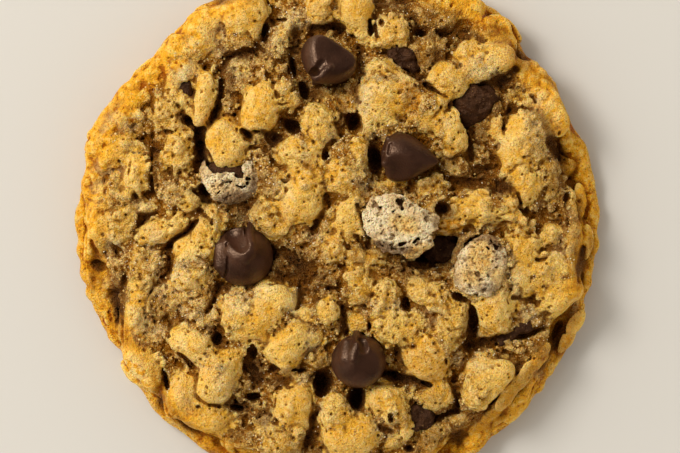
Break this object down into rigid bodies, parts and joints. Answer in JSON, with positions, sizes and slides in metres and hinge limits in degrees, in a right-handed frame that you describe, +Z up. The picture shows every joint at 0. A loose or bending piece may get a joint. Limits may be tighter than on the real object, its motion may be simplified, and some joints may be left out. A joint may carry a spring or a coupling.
{
  "type": "oatmeal chocolate chip cookie",
  "caption": "Round thick oatmeal cookie with a lumpy oat top, a thin spread lip, a flat underside and dark chocolate chips set in its top.",
  "frame": {"origin": "on the table under the middle of the cookie's bounding box", "axes": "+Z up through the cookie's thickness, +X to the right and +Y away from the viewer who looks down on it"},
  "size_m": [0.09, 0.0904, 0.0158],
  "materials": {
    "baked_dough": "baked oat dough: pale gold porous lumps, brown glossy creases between them, a browner edge",
    "chocolate": "dark chocolate: smooth, semi-matte, faintly purple brown",
    "coated_chocolate": "dark chocolate under a thin, pale, cracked film of baked dough"
  },
  "bodies": {
    "root": {"dough": "baked_dough", "chip_upper": "chocolate", "chip_right": "chocolate", "chip_left": "chocolate", "chip_lower": "chocolate", "chip_coated_left": "coated_chocolate", "chip_coated_middle": "coated_chocolate", "chip_coated_right": "coated_chocolate", "chip_in_hollow": "chocolate", "chip_melted": "chocolate", "chip_smear": "chocolate", "chip_nib_upper": "chocolate", "chip_nib_left": "chocolate", "chip_nib_lower": "chocolate"}
  },
  "joints": []
}
